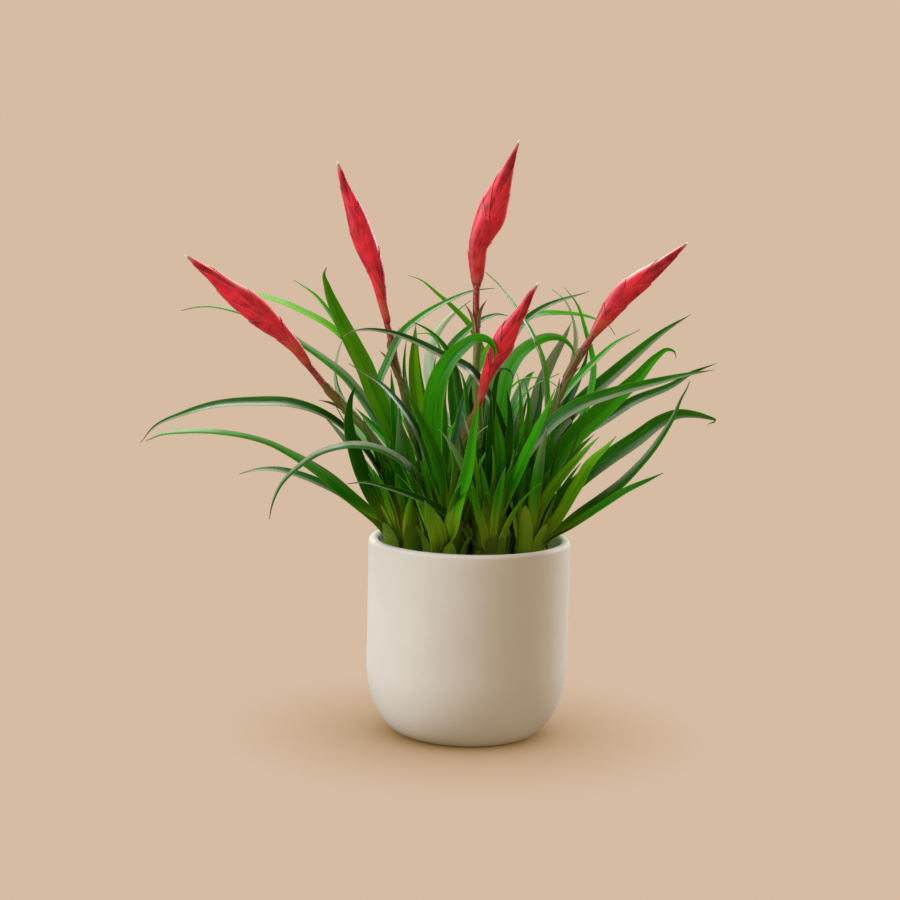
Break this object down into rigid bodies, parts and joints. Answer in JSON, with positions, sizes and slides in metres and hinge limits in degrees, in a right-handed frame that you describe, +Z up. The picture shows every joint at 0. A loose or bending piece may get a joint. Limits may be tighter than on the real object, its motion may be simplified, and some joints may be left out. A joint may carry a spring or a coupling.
{
  "type": "potted vriesea",
  "caption": "House plant in a round ceramic pot: a vriesea with arching strap leaves and tall flower spikes of flat overlapping bracts, rooted in soil.",
  "frame": {"origin": "centre of the pot's flat base, on the ground", "axes": "+Z up, front of the plant faces -Y, +X to the right as the picture shows it"},
  "size_m": [0.3933, 0.2273, 0.4117],
  "materials": {
    "ceramic": "matte",
    "soil": "matte",
    "leaf": "satin",
    "stem": "matte",
    "bract": "satin"
  },
  "bodies": {
    "root": {"pot": "ceramic", "soil": "soil", "rosette_left": "leaf", "rosette_front": "leaf", "rosette_middle": "leaf", "rosette_right": "leaf", "rosette_back_left": "leaf", "rosette_back_right": "leaf", "stem_left": "stem", "stem_back_left": "stem", "stem_back_right": "stem", "stem_front": "stem", "stem_right": "stem", "head_left": "bract", "head_back_left": "bract", "head_back_right": "bract", "head_front": "bract", "head_right": "bract"}
  },
  "joints": []
}
